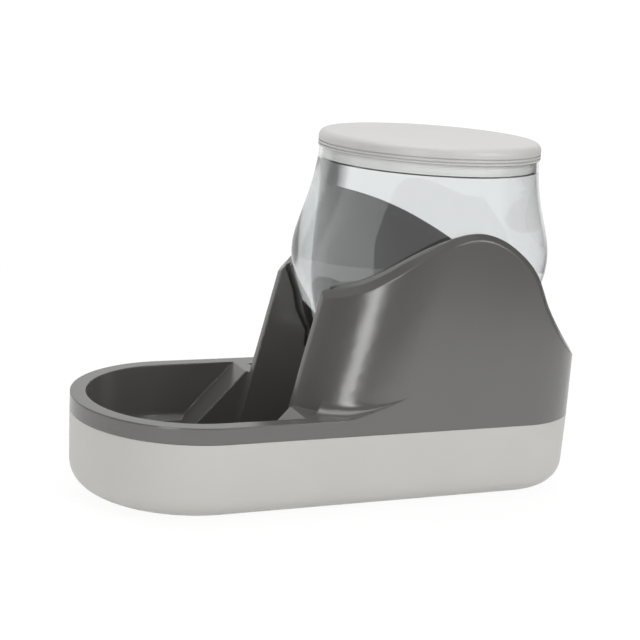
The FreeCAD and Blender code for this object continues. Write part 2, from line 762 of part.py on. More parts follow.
def make_lid():
    """Pale lid, turned from its profile: a disc with a round edge, hollow below, and the plug with its groove."""
    low = size("tank_top")
    top = low + size("lid_thickness")
    edge = size("lid_edge_radius")
    reach = size("lid_radius")
    plug = size("mouth_radius") - size("tank_wall") - size("plug_gap")
    groove = size("mouth_radius") - size("tank_wall") - size("seal_depth")
    groove_low = low - size("seal_level")
    points = [(0, top)]
    for step in range(5):
        angle = math.pi / 2 * step / 4
        points.append((reach - edge + edge * math.sin(angle), top - edge + edge * math.cos(angle)))
    points += [(reach, low + size("lid_gap")), (reach - size("lid_relief"), low + size("lid_gap")),
               (reach - size("lid_relief"), low), (plug, low), (plug, groove_low + size("seal_height")),
               (groove, groove_low + size("seal_height")), (groove, groove_low), (plug, groove_low),
               (plug, low - size("plug_depth")), (plug - size("plug_wall"), low - size("plug_depth")),
               (plug - size("plug_wall"), top - size("lid_wall")), (0, top - size("lid_wall")), (0, top)]
    centre = size("tank_centre_x")
    outline = Part.makePolygon([Vector(centre + x, 0, z) for x, z in points])
    lid = Part.Face(outline).revolve(Vector(centre, 0, 0), Vector(0, 0, 1), 360)
    return feature("lid_solid", lid)


def make_cage():
    """Cage that stands in the cap: a foot ring, legs and a plate that guides the stem."""
    centre = size("tank_centre_x")
    low = size("tank_base") - size("neck_drop") - size("gasket_thickness")
    foot = Part.makeCylinder(size("cage_radius"), size("cage_plate"), Vector(centre, 0, low))
    plate_low = low + size("cage_height") - size("cage_plate")
    plate = Part.makeCylinder(size("cage_radius"), size("cage_plate"), Vector(centre, 0, plate_low))
    added = [plate]
    for number in range(int(size("cage_legs"))):
        leg = Part.makeBox(size("cage_leg_depth"), size("cage_leg_width"), size("cage_height"),
                           Vector(size("cage_radius") - size("cage_leg_depth") - 0.3,
                                  -size("cage_leg_width") / 2, 0))
        leg.rotate(Vector(0, 0, 0), Vector(0, 0, 1), 360 * number / size("cage_legs"))
        leg.translate(Vector(centre, 0, low))
        added.append(leg)
    opening = Part.makeCylinder(size("valve_disc_radius") + 2, 2 * size("cage_plate"),
                                Vector(centre, 0, low - size("cage_plate") / 2))
    removed = [opening, Part.makeCylinder(size("stem_radius") + size("stem_clearance"), 60,
                                          Vector(centre, 0, low - 20))]
    for number in range(int(size("cage_legs"))):
        angle = math.radians(360 * (number + 0.5) / size("cage_legs"))
        middle = size("cage_radius") - size("cage_window") - 2
        removed.append(prism(size("cage_window"), 10, plate_low - 4, centre + middle * math.cos(angle),
                             middle * math.sin(angle)))
    return feature("spring_retainer_solid", foot.fuse(added).cut(removed))


VALVE_SEAL_LOW = ("sizes.tank_base - sizes.neck_drop - sizes.gasket_thickness + sizes.valve_lift")
VALVE_DISC_LOW = VALVE_SEAL_LOW + " + sizes.valve_seal_thickness"


def make_stem():
    """Rod that stands on the pin of the well, with the disc of the valve."""
    rod = cylinder("valve_rod", "sizes.stem_radius", "sizes.stem_length", "sizes.pin_top")
    disc = cylinder("valve_disc", "sizes.valve_disc_radius", "sizes.valve_disc_thickness", VALVE_DISC_LOW)
    return fuse("valve_stem_solid", rod, disc)


def make_spring():
    """Coil spring between the disc of the valve and the plate of the cage."""
    wire = size("spring_wire_radius")
    seat = size("tank_base") - size("neck_drop") - size("gasket_thickness")
    low = seat + size("valve_lift") + size("valve_seal_thickness") + size("valve_disc_thickness") + 2 * wire
    high = seat + size("cage_height") - size("cage_plate") - 2 * wire
    turns = size("spring_coils")
    steps = int(turns * size("spring_steps"))
    points = []
    for step in range(steps + 1):
        angle = 2 * math.pi * turns * step / steps
        points.append(Vector(size("spring_radius") * math.cos(angle), size("spring_radius") * math.sin(angle),
                             (high - low) * step / steps))
    path = Part.makePolygon(points)
    along = points[1] - points[0]
    section = Part.makePolygon([points[0] + offset for offset in square_about(along, wire)])
    sweep = Part.BRepOffsetAPI.MakePipeShell(path)
    sweep.setTransitionMode(1)
    sweep.add(section)
    sweep.build()
    sweep.makeSolid()
    coil = sweep.shape()
    coil.translate(Vector(size("tank_centre_x"), 0, low))
    return feature("valve_spring_solid", coil)


def square_about(along, half):
    """Corners of a square across a direction, the first one twice."""
    side = Vector(0, 0, 1).cross(along)
    side.normalize()
    up = along.cross(side)
    up.normalize()
    corners = [side * half * a + up * half * b for a, b in ((1, 1), (-1, 1), (-1, -1), (1, -1))]
    return corners + corners[:1]


def make_screws():
    """Six screws that hold the shells together, their heads in the recesses underneath."""
    screws = []
    for x, y in SCREW_PLACES:
        head_low = size("screw_recess") - size("screw_head_height")
        head = prism(size("screw_head_radius"), size("screw_head_height"), head_low, x, y)
        shank = prism(size("screw_radius"), size("screw_length"), size("screw_recess"), x, y)
        screws.append(head.fuse(shank))
    return feature("housing_screws_solid", Part.makeCompound(screws))


def make_feet():
    """Four rubber feet in the recesses of the base."""
    feet = []
    for number, (x, y) in enumerate(FOOT_PLACES, start=1):
        pad = doc.addObject("Part::Prism", "foot_%d" % number)
        bind(pad, Circumradius="sizes.foot_radius", Height="sizes.foot_thickness")
        pad.Polygon = 24
        pad.Placement = Placement(Vector(x, y, 0), Rotation())
        feet.append(pad)
    return feet


neck_low = "sizes.tank_base - sizes.neck_drop"
NODES = {
    "base_shell": make_base_shell(),
    "upper_housing": make_upper_housing(),
    "tank": make_tank(),
    "lid": make_lid(),
    "lid_seal": ring("lid_seal", "sizes.mouth_radius - sizes.tank_wall - sizes.seal_play",
                     "sizes.mouth_radius - sizes.tank_wall - sizes.seal_depth", "sizes.seal_height",
                     "sizes.tank_top - sizes.seal_level"),
    "tank_cap": make_cap(),
    "cap_gasket": ring("cap_gasket", "sizes.neck_radius", "sizes.neck_radius - sizes.tank_wall",
                       "sizes.gasket_thickness", neck_low + " - sizes.gasket_thickness"),
    "spring_retainer": make_cage(),
    "valve_stem": make_stem(),
    "valve_seal": ring("valve_seal", "sizes.valve_disc_radius", "sizes.stem_radius",
                       "sizes.valve_seal_thickness", VALVE_SEAL_LOW),
    "valve_spring": make_spring(),
    "housing_screws": make_screws(),
}
for number, foot in enumerate(make_feet(), start=1):
    NODES["foot_pad_%d" % number] = foot
doc.recompute()

for obj in doc.Objects:
    if "Invalid" in obj.State or "Error" in obj.State:
        raise RuntimeError("%s does not build" % obj.Name)
for label, node in NODES.items():
    if node.Shape.isNull() or not node.Shape.isValid():
        raise RuntimeError("%s has no valid shape" % label)
    node.Label = label
    node.Shape.exportStep("parts/%s.step" % label)
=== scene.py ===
"""Pet water dispenser: a bowl with a gravity-fed tank in a tower behind it, dressed for a studio picture."""
import math

import bpy
from mathutils import Matrix, Vector


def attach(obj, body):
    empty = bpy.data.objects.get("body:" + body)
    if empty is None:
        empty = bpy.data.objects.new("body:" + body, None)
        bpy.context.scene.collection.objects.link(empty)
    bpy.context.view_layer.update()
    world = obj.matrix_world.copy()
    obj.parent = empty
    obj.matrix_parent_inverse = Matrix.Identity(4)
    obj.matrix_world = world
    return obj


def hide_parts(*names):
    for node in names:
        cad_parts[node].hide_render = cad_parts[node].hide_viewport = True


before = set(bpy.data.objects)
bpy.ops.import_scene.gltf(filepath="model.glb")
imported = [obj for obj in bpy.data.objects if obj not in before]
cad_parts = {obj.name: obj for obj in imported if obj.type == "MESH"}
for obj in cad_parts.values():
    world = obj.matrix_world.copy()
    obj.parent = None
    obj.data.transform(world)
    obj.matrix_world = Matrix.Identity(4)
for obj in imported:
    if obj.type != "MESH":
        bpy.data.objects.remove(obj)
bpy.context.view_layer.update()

MM = 0.001

# Sizes in millimetres, as in the part's source
BASE_LENGTH = 370.0
BASE_WIDTH = 170.0
BOWL_END_RADIUS = 85.0
REAR_CORNER_RADIUS = 57.0
SPLIT_HEIGHT = 56.3
FOOT_STAND_OUT = 1.5
BASE_EDGE_RADIUS = 18.0
BASE_MERGE = 0.4
WALL = 3.0
DRAFT = 1.0
TANK_X = 73.0
TANK_WALL = 2.2
TANK_TOP = 242.5
WATER_LOW = 95.6
WATER_HIGH = 234.0
WATER_LAP = 0.1
LID_RADIUS = 80.9
LID_THICKNESS = 12.0
LID_EDGE_RADIUS = 5.5
LID_SEAT_GAP = 0.3
LID_LINE_CUTS = (1.2, 2.1, 3.5, 4.4)
LID_LINE_MIDDLES = (1.65, 3.95)
LID_LINE_DEPTH = 1.2
PLUG_LEVEL = 0.2
PLUG_INSET = 4.0
PLUG_DROP = 7.9
PLUG_WALL = 2.5
PLUG_HOLLOW = 16.4
LID_TOP_RINGS = (6.0, 20.0, 25.0)

# The nose of the tower, the ledge and the ramp of the bowl, where the cheeks stand on them
NOSE_RADIUS = 76.0
NOSE_REACH = 67.22
NOSE_SLOPE = 0.235
NOSE_FOOT_X = -39.99
LEDGE_LEVEL = 68.0
FOOT_RISE = 14.0
RAMP_TOP_X = -42.4
RAMP_SLOPE = 0.964
OPENING_HALF_WIDTH = 38.0
LEDGE_START_X = -24.0
LEDGE_END_X = 46.0
LEDGE_RISE = 17.5
COVE_RADIUS = 9.0
COVE_ROOT = 1.5
# Side view of the ledge, as shares of its length and of its rise
LEDGE_CURVE = ((0.0, 0.0), (0.2, 0.07), (0.4, 0.30), (0.7, 0.72), (1.0, 1.0))
# Turns of the nose at which the cove is drawn, from the flush end of the ledge to its cut end
COVE_TURNS = (6, 10, 14, 18, 22, 26, 30, 34, 38, 42, 46)

# How far the filled feet of the cheeks lie under the faces that they join, and reach behind the ramp
FOOT_SUNK = 0.02
FOOT_OVERLAP = 0.8
HOUSING_MERGE = 0.003
HOUSING_SHARP_ANGLE = 24
COVE_STEPS = 8

# The tank from its neck to its mouth: height, half length along X, half width along Y
TANK_RINGS = (
    (66.5, 23.0, 23.0), (80.0, 23.0, 23.0), (91.0, 23.0, 23.0), (93.2, 25.0, 25.0), (93.2, 45.0, 40.0),
    (93.2, 66.0, 54.0), (96.0, 73.0, 61.0), (101.0, 77.5, 65.3), (108.0, 82.0, 69.4), (117.0, 84.8, 72.0),
    (124.0, 85.9, 73.5), (131.0, 87.8, 74.8), (140.0, 91.6, 76.0), (149.0, 95.2, 76.9), (158.0, 97.7, 77.5),
    (166.0, 98.5, 77.8), (174.0, 98.0, 78.1), (182.0, 96.0, 78.4), (190.0, 93.2, 78.7), (200.0, 89.6, 79.1),
    (210.0, 86.1, 79.4), (220.0, 83.2, 79.7), (230.0, 81.2, 79.9), (238.0, 80.2, 80.0), (242.5, 80.0, 80.0))


def deselect_all():
    """Nothing selected, nothing active."""
    if bpy.context.object and bpy.context.object.mode == "EDIT":
        bpy.ops.object.mode_set(mode="OBJECT")
    bpy.ops.object.select_all(action="DESELECT")
    bpy.context.view_layer.objects.active = None


def edit(obj, kind="VERT"):
    """Opens a piece for editing with nothing of it selected."""
    deselect_all()
    bpy.context.view_layer.objects.active = obj
    obj.select_set(True)
    bpy.ops.object.mode_set(mode="EDIT")
    bpy.context.tool_settings.mesh_select_mode = (kind == "VERT", kind == "EDGE", kind == "FACE")
    bpy.ops.mesh.select_all(action="DESELECT")
    bpy.ops.object.mode_set(mode="OBJECT")


def pick_vertices(obj, wanted):
    """Selects the vertices whose place passes the test, and goes into edit mode."""
    for vertex in obj.data.vertices:
        vertex.select = wanted(vertex.co)
    bpy.ops.object.mode_set(mode="EDIT")


def pick_edges(obj, wanted):
    """Selects the edges whose two ends pass the test, and goes into edit mode."""
    points = obj.data.vertices
    for edge in obj.data.edges:
        edge.select = wanted(points[edge.vertices[0]].co, points[edge.vertices[1]].co)
    bpy.ops.object.mode_set(mode="EDIT")


def pick_faces(obj, wanted):
    """Selects the faces whose centre and normal pass the test, and goes into edit mode."""
    for face in obj.data.polygons:
        face.select = wanted(face.center, face.normal)
    bpy.ops.object.mode_set(mode="EDIT")


def close_edit():
    """Back to object mode."""
    bpy.ops.object.mode_set(mode="OBJECT")


def settle(obj, name):
    """Names a piece and puts its place into its mesh."""
    obj.name = name
    obj.data.name = name
    deselect_all()
    obj.select_set(True)
    bpy.context.view_layer.objects.active = obj
    bpy.ops.object.transform_apply(location=True, rotation=True, scale=True)
    return obj


def apply_modifier(obj, kind, **settings):
    """Adds a modifier with its settings and applies it."""
    modifier = obj.modifiers.new(kind.title(), kind)
    for key, value in settings.items():
        setattr(modifier, key, value)
    bpy.context.view_layer.objects.active = obj
    bpy.ops.object.modifier_apply(modifier=modifier.name)


def smooth(obj, degrees=35.0):
    """Smooth shading, with the sharp edges kept."""
    deselect_all()
    obj.select_set(True)
    bpy.context.view_layer.objects.active = obj
    bpy.ops.object.shade_smooth_by_angle(angle=math.radians(degrees))


def hex_colour(code):
    """An sRGB hex colour as linear red, green, blue and alpha."""
    parts = [int(code[i:i + 2], 16) / 255 for i in (1, 3, 5)]
    linear = [p / 12.92 if p <= 0.04045 else ((p + 0.055) / 1.055) ** 2.4 for p in parts]
    return (*linear, 1.0)


def add_node(tree, kind, settings=None, inputs=None, links=None):
    """Adds a node with its settings, the values of its sockets and the links into them."""
    node = tree.nodes.new(kind)
    for key, value in (settings or {}).items():
        setattr(node, key, value)
    for key, value in (inputs or {}).items():
        node.inputs[key].default_value = value
    for key, source in (links or {}).items():
        tree.links.new(source, node.inputs[key])
    return node


def new_material(name):
    """An empty node material and its output."""
    material = bpy.data.materials.new(name)
    material.use_nodes = True
    tree = material.node_tree
    tree.nodes.clear()
    output = tree.nodes.new("ShaderNodeOutputMaterial")
    return material, tree, output


def moulded_plastic(name, dark, light, roughness, spread, grain_mm, grain_depth, edge_round=0.0, shine=0.5):
    """Injection-moulded plastic: a fine spark-eroded grain, slight flow marks and a soft satin gloss."""
    material, tree, output = new_material(name)
    place = add_node(tree, "ShaderNodeTexCoord")
    flow = add_node(tree, "ShaderNodeTexNoise", inputs={"Scale": 14.0, "Detail": 3.0, "Roughness": 0.5},
                    links={"Vector": place.outputs["Object"]})
    tint = add_node(tree, "ShaderNodeValToRGB", links={"Fac": flow.outputs["Fac"]})
    tint.color_ramp.elements[0].color = hex_colour(dark)
    tint.color_ramp.elements[0].position = 0.3
    tint.color_ramp.elements[1].color = hex_colour(light)
    tint.color_ramp.elements[1].position = 0.7
    gloss = add_node(tree, "ShaderNodeMapRange", links={"Value": flow.outputs["Fac"]},
                     inputs={"From Min": 0.3, "From Max": 0.7, "To Min": roughness - spread,
                             "To Max": roughness + spread})
    grain = add_node(tree, "ShaderNodeTexNoise", inputs={"Scale": 1000.0 / grain_mm, "Detail": 2.0},
                     links={"Vector": place.outputs["Object"]})
    rounding = None
    if edge_round:
        rounding = add_node(tree, "ShaderNodeBevel", {"samples": 6}, {"Radius": edge_round * MM})
    links = {"Height": grain.outputs["Fac"]}
    if rounding:
        links["Normal"] = rounding.outputs["Normal"]
    bump = add_node(tree, "ShaderNodeBump", inputs={"Strength": grain_depth, "Distance": 0.00005},
                    links=links)
    shader = add_node(tree, "ShaderNodeBsdfPrincipled",
                      inputs={"IOR": 1.53, "Specular IOR Level": shine},
                      links={"Base Color": tint.outputs["Color"], "Roughness": gloss.outputs["Result"],
                             "Normal": bump.outputs["Normal"]})
    tree.links.new(shader.outputs["BSDF"], output.inputs["Surface"])
    return material


# Satin ABS, dark grey: the moulded tower and rim; broad soft highlights that stay bright on the edges
housing_abs = moulded_plastic("charcoal_satin_abs", "#62615F", "#646361", 0.23, 0.008, 0.8, 0.12, 1.8, 0.9)
# Matt ABS, warm light grey: the lower shell, a little rougher, so it shows hardly any reflection
base_abs = moulded_plastic("pale_matt_abs", "#CECDC9", "#D2D1CD", 0.45, 0.02, 0.8, 0.2, 0.8)
# Polypropylene, off-white: the lid, smooth with a wide soft gloss
lid_pp = moulded_plastic("off_white_polypropylene", "#D8D7D5", "#DCDBD9", 0.4, 0.02, 0.7, 0.15)
# Polypropylene, natural white: cap, cage and valve
cap_pp = moulded_plastic("natural_polypropylene", "#D8D8D4", "#DEDEDA", 0.3, 0.03, 0.7, 0.15, 0.4)
# Silicone, milky: seals and washers
silicone = moulded_plastic("milky_silicone", "#C4C4BE", "#CBCBC6", 0.55, 0.03, 0.6, 0.2)
# Silicone, the seal in the lid's groove: painted whiter than the other seals, as painted light against the
# shade under the lid, so it is hardly seen through the tank
seal_painted_light = moulded_plastic("silicone_painted_light", "#F0F0ED", "#F4F4F1", 0.55, 0.03, 0.6, 0.1)
# Polypropylene of the lid where it is thin, on the plug below it: painted whiter than the lid, as painted
# light for the light that comes through it
plug_pp_painted_light = moulded_plastic("polypropylene_painted_light", "#F0F0EE", "#F4F4F2", 0.4, 0.02, 0.7, 0.1)
# Rubber, dark grey: feet
rubber = moulded_plastic("dark_foot_rubber", "#2B2B2A", "#333332", 0.75, 0.05, 0.5, 0.5)


def spring_steel(name):
    """Drawn stainless spring wire: bright, with fine drawing lines along it."""
    material, tree, output = new_material(name)
    place = add_node(tree, "ShaderNodeTexCoord")
    lines = add_node(tree, "ShaderNodeTexNoise", inputs={"Scale": 900.0, "Detail": 2.0},
                     links={"Vector": place.outputs["Object"]})
    gloss = add_node(tree, "ShaderNodeMapRange", links={"Value": lines.outputs["Fac"]},
                     inputs={"From Min": 0.3, "From Max": 0.7, "To Min": 0.22, "To Max": 0.34})
    shader = add_node(tree, "ShaderNodeBsdfPrincipled",
                      inputs={"Base Color": hex_colour("#B8B8B6"), "Metallic": 1.0},
                      links={"Roughness": gloss.outputs["Result"]})
    tree.links.new(shader.outputs["BSDF"], output.inputs["Surface"])
    return material


steel = spring_steel("drawn_stainless_wire")


def clear_medium(name, tint, ior, wave_scale, wave_depth):
    """A clear medium with a faint waviness of its surface."""
    material, tree, output = new_material(name)
    place = add_node(tree, "ShaderNodeTexCoord")
    wave = add_node(tree, "ShaderNodeTexNoise", inputs={"Scale": wave_scale, "Detail": 1.0},
                    links={"Vector": place.outputs["Object"]})
    bump = add_node(tree, "ShaderNodeBump", inputs={"Strength": 0.25, "Distance": wave_depth},
                    links={"Height": wave.outputs["Fac"]})
    shader = add_node(tree, "ShaderNodeBsdfPrincipled",
                      inputs={"Base Color": hex_colour(tint), "IOR": ior, "Roughness": 0.0,
                              "Transmission Weight": 1.0, "Specular IOR Level": 0.25},
                      links={"Normal": bump.outputs["Normal"]})
    tree.links.new(shader.outputs["BSDF"], output.inputs["Surface"])
    return material


# SAN, clear, blow-moulded: glass-like, with a faint waviness from the blowing
tank_san = clear_medium("clear_blown_san", "#F6F7F7", 1.57, 22.0, 0.0004)
# Water, still: clear, so it only bends what lies behind it
clear_water = clear_medium("still_clear_water", "#FAFBFB", 1.333, 10.0, 0.0001)


def paint(obj, material):
    """Gives a piece one material."""
    obj.data.materials.clear()
    obj.data.materials.append(material)
    return obj


# Tank


def make_tank():
    """The clear tank's skin: rings drawn up from the neck to the mouth."""
    deselect_all()
    first = TANK_RINGS[0]
    bpy.ops.mesh.primitive_circle_add(vertices=160, radius=first[1] * MM,
                                      location=(TANK_X * MM, 0, first[0] * MM))
    obj = settle(bpy.context.object, "tank_body")
    edit(obj)
    pick_vertices(obj, lambda place: True)
    for (low, length, width), (high, next_length, next_width) in zip(TANK_RINGS, TANK_RINGS[1:]):
        bpy.ops.mesh.extrude_region_move(TRANSFORM_OT_translate={"value": (0, 0, (high - low) * MM)})
        bpy.ops.transform.resize(value=(next_length / length, next_width / width, 1.0),
                                 center_override=(TANK_X * MM, 0, high * MM))
    bpy.ops.mesh.select_all(action="SELECT")
    bpy.ops.mesh.normals_make_consistent(inside=False)
    close_edit()
    apply_modifier(obj, "SUBSURF", levels=1, render_levels=1)
    return obj


def make_water(skin):
    """Water in the tank: the inside of its wall from above the neck to just under the plug of the lid."""
    deselect_all()
    skin.select_set(True)
    bpy.context.view_layer.objects.active = skin
    bpy.ops.object.duplicate()
    obj = settle(bpy.context.object, "tank_water")
    edit(obj)
    pick_vertices(obj, lambda place: True)
    bpy.ops.transform.shrink_fatten(value=-(TANK_WALL - WATER_LAP) * MM)
    bpy.ops.mesh.select_all(action="SELECT")
    bpy.ops.mesh.bisect(plane_co=(0, 0, WATER_LOW * MM), plane_no=(0, 0, 1), use_fill=True, clear_inner=True)
    bpy.ops.mesh.select_all(action="SELECT")
    bpy.ops.mesh.bisect(plane_co=(0, 0, WATER_HIGH * MM), plane_no=(0, 0, 1), use_fill=True, clear_outer=True)
    bpy.ops.mesh.select_all(action="SELECT")
    bpy.ops.mesh.normals_make_consistent(inside=False)
    close_edit()
    smooth(obj, 40)
    return obj


def give_wall(obj):
    """Turns the tank's skin into a wall."""
    apply_modifier(obj, "SOLIDIFY", thickness=TANK_WALL * MM, offset=-1.0, use_even_offset=True)
    smooth(obj, 50)
    return obj


tank = make_tank()
water = paint(make_water(tank), clear_water)
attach(water, "tank")
tank = paint(give_wall(tank), tank_san)
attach(tank, "tank")
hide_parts("tank")


# Lid


def make_lid():
    """Pale lid: a disc with a round top edge, two fine lines near its foot and a plug below."""
    deselect_all()
    low = TANK_TOP + LID_SEAT_GAP
    height = LID_THICKNESS - LID_SEAT_GAP
    bpy.ops.mesh.primitive_cylinder_add(vertices=160, radius=LID_RADIUS * MM, depth=height * MM,
                                        location=(TANK_X * MM, 0, (low + height / 2) * MM))
    obj = settle(bpy.context.object, "lid_cover")
    top = (low + height) * MM
    edit(obj, "EDGE")
    pick_edges(obj, lambda a, b: abs(a.z - top) < 1e-5 and abs(b.z - top) < 1e-5)
    bpy.ops.mesh.bevel(offset=LID_EDGE_RADIUS * MM, offset_type="OFFSET", segments=10, profile=0.5)
    close_edit()
    for level in LID_LINE_CUTS:
        edit(obj)
        pick_vertices(obj, lambda place: True)
        bpy.ops.mesh.bisect(plane_co=(0, 0, (low + level) * MM), plane_no=(0, 0, 1))
        close_edit()
    for level in LID_LINE_MIDDLES:
        edit(obj, "FACE")
        centre = (low + level) * MM
        pick_faces(obj, lambda c, n: abs(c.z - centre) < 0.3 * MM and abs(n.z) < 0.2)
        bpy.ops.mesh.inset(thickness=0.0001 * MM, depth=-LID_LINE_DEPTH * MM, use_boundary=False)
        close_edit()
    edit(obj, "FACE")
    bottom = low * MM
    pick_faces(obj, lambda c, n: n.z < -0.9 and abs(c.z - bottom) < 1e-5)
    bpy.ops.mesh.inset(thickness=PLUG_INSET * MM)
    bpy.ops.mesh.extrude_region_move(TRANSFORM_OT_translate={"value": (0, 0, -PLUG_DROP * MM)})
    bpy.ops.mesh.inset(thickness=PLUG_WALL * MM)
    bpy.ops.mesh.extrude_region_move(TRANSFORM_OT_translate={"value": (0, 0, PLUG_HOLLOW * MM)})
    close_edit()
    edit(obj, "FACE")
    pick_faces(obj, lambda c, n: n.z > 0.99 and abs(c.z - top) < 1e-5)
    for thickness in LID_TOP_RINGS:
        bpy.ops.mesh.inset(thickness=thickness * MM)
    close_edit()
    smooth(obj, 40)
    return obj


lid = paint(make_lid(), lid_pp)
# The plug below the lid takes the copy of the lid's plastic that is painted lighter, as painted light
lid.data.materials.append(plug_pp_painted_light)
for face in lid.data.polygons:
    if face.center.z < (TANK_TOP + PLUG_LEVEL) * MM:
        face.material_index = 1
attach(lid, "lid")
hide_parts("lid")


# Base


def make_base():
    """Pale lower shell: a block with round ends, drafted and rounded below, open above, with a wall."""
    deselect_all()
    height = SPLIT_HEIGHT - FOOT_STAND_OUT
    bpy.ops.mesh.primitive_cube_add(size=1.0, location=(0, 0, (FOOT_STAND_OUT + height / 2) * MM),
                                    scale=(BASE_LENGTH * MM, BASE_WIDTH * MM, height * MM))
    obj = settle(bpy.context.object, "base_cover")
    half = BASE_LENGTH / 2 * MM - 1e-5
    for side, radius, segments in ((-1, BOWL_END_RADIUS, 40), (1, REAR_CORNER_RADIUS, 24)):
        edit(obj, "EDGE")
        pick_edges(obj, lambda a, b: a.x * side > half and b.x * side > half and abs(a.z - b.z) > 0.01)
        bpy.ops.mesh.bevel(offset=radius * MM, offset_type="OFFSET", segments=segments, profile=0.5)
        close_edit()
    edit(obj)
    pick_vertices(obj, lambda place: True)
    bpy.ops.mesh.remove_doubles(threshold=BASE_MERGE * MM)
    close_edit()
    low = FOOT_STAND_OUT * MM + 1e-5
    lean = math.tan(math.radians(DRAFT)) * height
    edit(obj)
    pick_vertices(obj, lambda place: place.z < low)
    bpy.ops.transform.resize(value=(1 - 2 * lean / BASE_LENGTH, 1 - 2 * lean / BASE_WIDTH, 1),
                             center_override=(0, 0, FOOT_STAND_OUT * MM))
    close_edit()
    edit(obj, "EDGE")
    pick_edges(obj, lambda a, b: a.z < low and b.z < low)
    bpy.ops.mesh.bevel(offset=BASE_EDGE_RADIUS * MM, offset_type="OFFSET", segments=12, profile=0.5)
    close_edit()
    edit(obj, "FACE")
    pick_faces(obj, lambda c, n: n.z > 0.9)
    bpy.ops.mesh.delete(type="FACE")
    close_edit()
    apply_modifier(obj, "SOLIDIFY", thickness=WALL * MM, offset=-1.0, use_even_offset=True)
    smooth(obj, 35)
    return obj


base = paint(make_base(), base_abs)
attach(base, "base")
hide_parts("base_shell")


# Upper housing


def cheek_foot(side):
    """The foot of one cheek: the nose's form between the opening and the side, down to the bowl's ramp."""
    deselect_all()
    middle = (LEDGE_LEVEL + FOOT_RISE / 2) * MM
    centre_x = NOSE_FOOT_X + FOOT_RISE / 2 * NOSE_SLOPE + NOSE_REACH
    half_depth = 1.5 * FOOT_RISE
    centre_y = NOSE_RADIUS - BASE_WIDTH / 2
    bpy.ops.mesh.primitive_cylinder_add(vertices=360, radius=(NOSE_RADIUS - FOOT_SUNK) * MM,
                                        depth=2 * half_depth * MM,
                                        location=(centre_x * MM, centre_y * MM, middle))
    foot = settle(bpy.context.object, "cheek_foot")
    for above in (True, False):
        edit(foot)
        pick_vertices(foot, lambda place: (place.z > middle) == above)
        lean = half_depth * NOSE_SLOPE * (1 if above else -1)
        bpy.ops.transform.translate(value=(lean * MM, 0, 0))
        close_edit()
    cuts = (((NOSE_FOOT_X + FOOT_SUNK, 0, LEDGE_LEVEL), (1, 0, -NOSE_SLOPE)),
            ((RAMP_TOP_X + FOOT_OVERLAP, 0, LEDGE_LEVEL), (-1, 0, RAMP_SLOPE)),
            ((0, -OPENING_HALF_WIDTH - FOOT_SUNK, 0), (0, -1, 0)),
            ((0, 0, LEDGE_LEVEL + FOOT_RISE), (0, 0, -1)))
    for place, kept in cuts:
        edit(foot)
        pick_vertices(foot, lambda place: True)
        bpy.ops.mesh.bisect(plane_co=[value * MM for value in place], plane_no=kept, use_fill=True,
                            clear_inner=True)
        close_edit()
    if side > 0:
        foot.scale = (1, -1, 1)
        settle(foot, "cheek_foot")
    edit(foot)
    pick_vertices(foot, lambda place: True)
    bpy.ops.mesh.normals_make_consistent(inside=False)
    close_edit()
    return foot


def ledge_level(x):
    """Height of the ledge at a distance along X."""
    along = (x - LEDGE_START_X) / (LEDGE_END_X - LEDGE_START_X)
    if along <= 0:
        return LEDGE_LEVEL
    for (a, low), (b, high) in zip(LEDGE_CURVE, LEDGE_CURVE[1:]):
        if along <= b:
            return LEDGE_LEVEL + LEDGE_RISE * (low + (high - low) * (along - a) / (b - a))
    return LEDGE_LEVEL + LEDGE_RISE


def cove_section(degrees):
    """Places of the cove's outline where the nose has turned by an angle, on the near side."""
    turn = math.radians(degrees)
    radius = min(COVE_RADIUS, 0.96 * NOSE_RADIUS * (1 - math.cos(turn)) / math.cos(turn))
    level = LEDGE_LEVEL
    for _ in range(12):
        x = NOSE_FOOT_X + (level - LEDGE_LEVEL) * NOSE_SLOPE + NOSE_REACH - NOSE_RADIUS * math.sin(turn)
        level = ledge_level(x)
    crease = Vector((x, NOSE_RADIUS * (1 - math.cos(turn)) - BASE_WIDTH / 2, level))
    outward = Vector((-math.sin(turn), -math.cos(turn), 0))
    rise = Vector((NOSE_SLOPE, 0, 1))
    sunk = Vector((0, 0, -COVE_ROOT))
    places = [crease - outward * COVE_ROOT + sunk, crease - outward * COVE_ROOT + rise * radius]
    for step in range(COVE_STEPS + 1):
        bend = math.pi / 2 * step / COVE_STEPS
        places.append(crease + rise * radius * (1 - math.sin(bend)) + outward * radius * (1 - math.cos(bend)))
    places.append(crease + outward * radius + sunk)
    return [place * MM for place in places]


def make_cove(side):
    """The hollow moulding between ledge and cheek: one outline drawn along the foot of the nose."""
    deselect_all()
    first = cove_section(COVE_TURNS[0])
    bpy.ops.mesh.primitive_circle_add(vertices=len(first), radius=1.0, fill_type="NGON", location=(0, 0, 0))
    cove = settle(bpy.context.object, "cove")
    for vertex, place in zip(cove.data.vertices, first):
        vertex.co = place
    edit(cove)
    pick_vertices(cove, lambda place: True)
    close_edit()
    for before, turn in zip(COVE_TURNS, COVE_TURNS[1:]):
        old_places = cove_section(before)
        new_places = cove_section(turn)
        bpy.ops.object.mode_set(mode="EDIT")
        bpy.ops.mesh.extrude_region_move(TRANSFORM_OT_translate={"value": (0, 0, 0)})
        close_edit()
        for vertex in cove.data.vertices:
            if vertex.select:
                nearest = min(range(len(old_places)), key=lambda i: (old_places[i] - vertex.co).length)
                vertex.co = new_places[nearest]
    if side > 0:
        cove.scale = (1, -1, 1)
        settle(cove, "cove")
    edit(cove)
    pick_vertices(cove, lambda place: True)
    bpy.ops.mesh.quads_convert_to_tris()
    bpy.ops.mesh.normals_make_consistent(inside=False)
    close_edit()
    return cove


